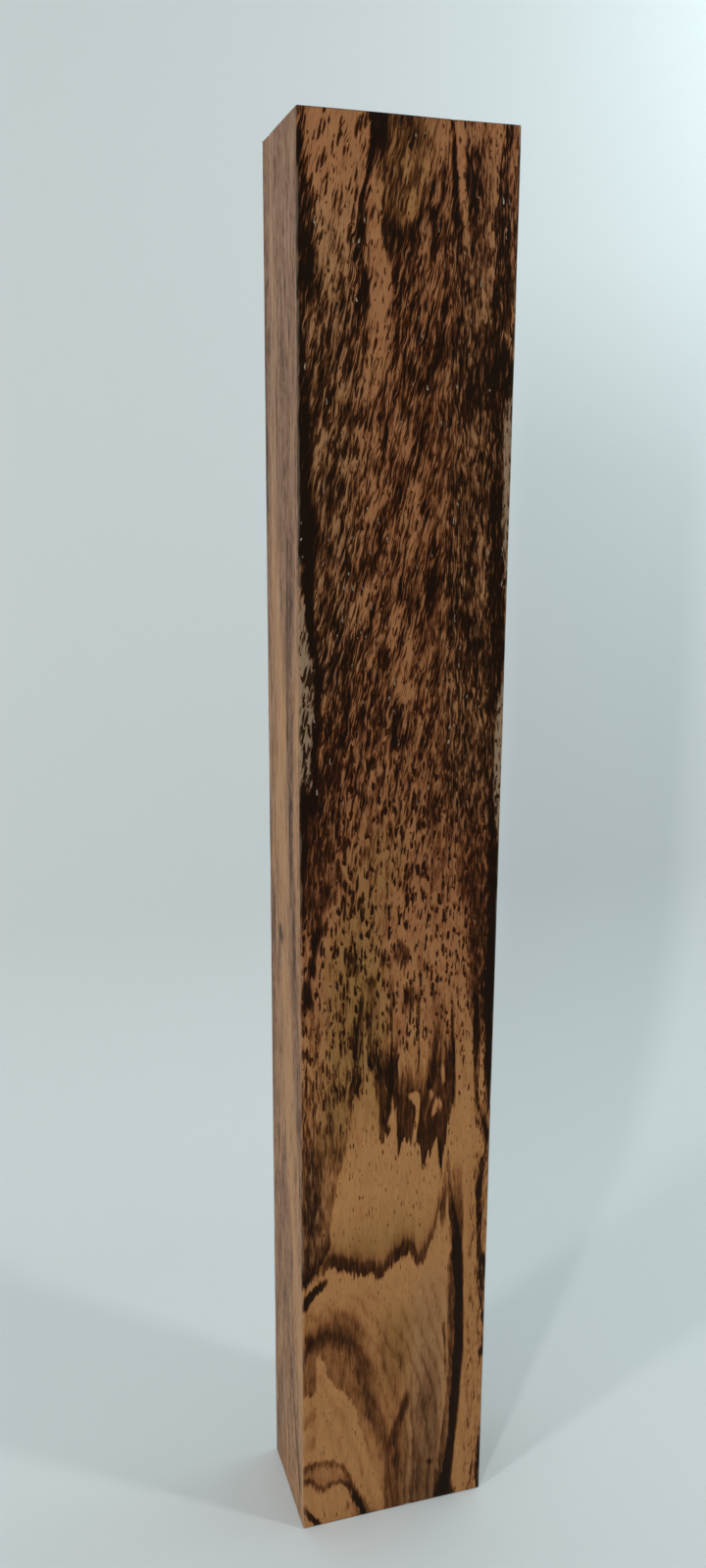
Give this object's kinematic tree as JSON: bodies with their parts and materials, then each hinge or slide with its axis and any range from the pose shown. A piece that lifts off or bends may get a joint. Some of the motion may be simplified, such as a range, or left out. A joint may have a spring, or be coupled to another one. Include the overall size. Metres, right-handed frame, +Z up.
{
  "type": "bocote wood blank",
  "caption": "Rectangular sawn blank of figured bocote heartwood, standing on its end, for carving, turning or handle making.",
  "frame": {"origin": "middle of the sawn end that the blank stands on", "axes": "+Z up the grain; -Y out of the wide flat-sawn face that shows the figure; -X out of the narrow quarter-sawn face"},
  "size_m": [0.05, 0.0304, 0.344],
  "materials": {
    "bocote_heartwood": "sanded bare heartwood, satin, with near-black figure"
  },
  "bodies": {
    "root": {"bocote_blank": "bocote_heartwood"}
  },
  "joints": []
}
